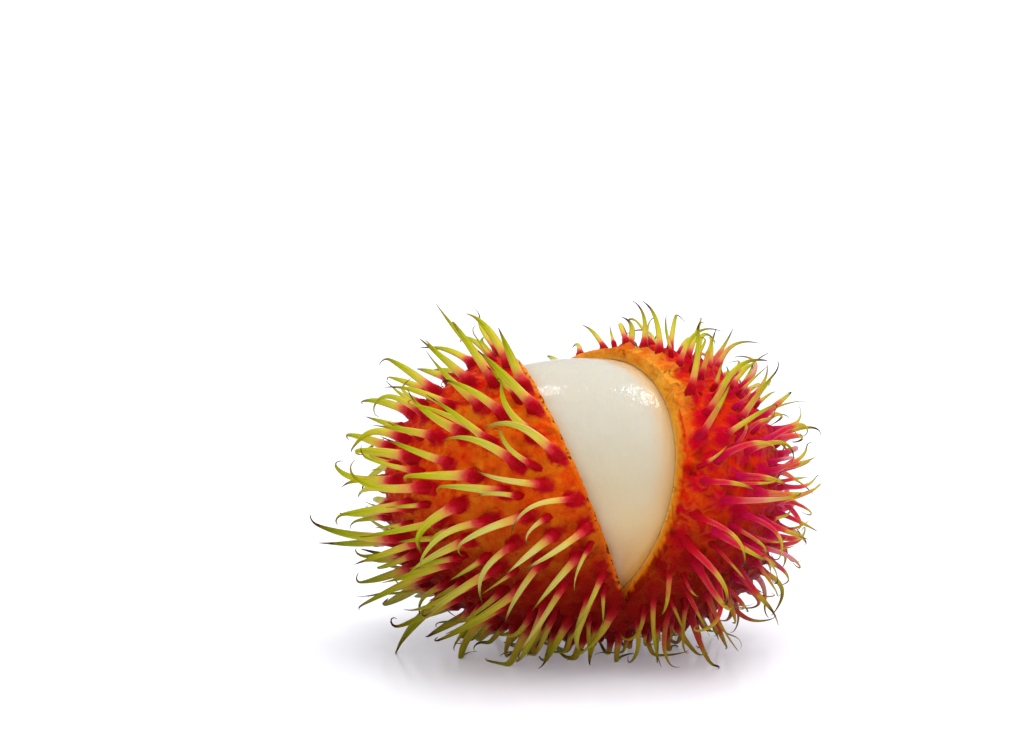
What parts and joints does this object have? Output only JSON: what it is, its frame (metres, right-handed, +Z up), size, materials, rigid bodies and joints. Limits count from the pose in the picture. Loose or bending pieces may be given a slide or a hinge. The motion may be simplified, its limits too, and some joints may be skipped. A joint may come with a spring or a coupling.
{
  "type": "rambutan",
  "caption": "Opened rambutan lying on its side: a hairy leathery rind, cut over its top and front, with the pale egg of flesh showing in the gap.",
  "frame": {"origin": "middle of the bounding box's base, on the surface that the fruit lies on", "axes": "+X along the fruit to its blunt right half, +Y to the uncut back, +Z up"},
  "size_m": [0.0626, 0.0488, 0.0434],
  "materials": {
    "rind": "matt, with soft spines",
    "flesh": "moist and a little translucent"
  },
  "bodies": {
    "root": {"rind": "rind", "flesh": "flesh"}
  },
  "joints": []
}
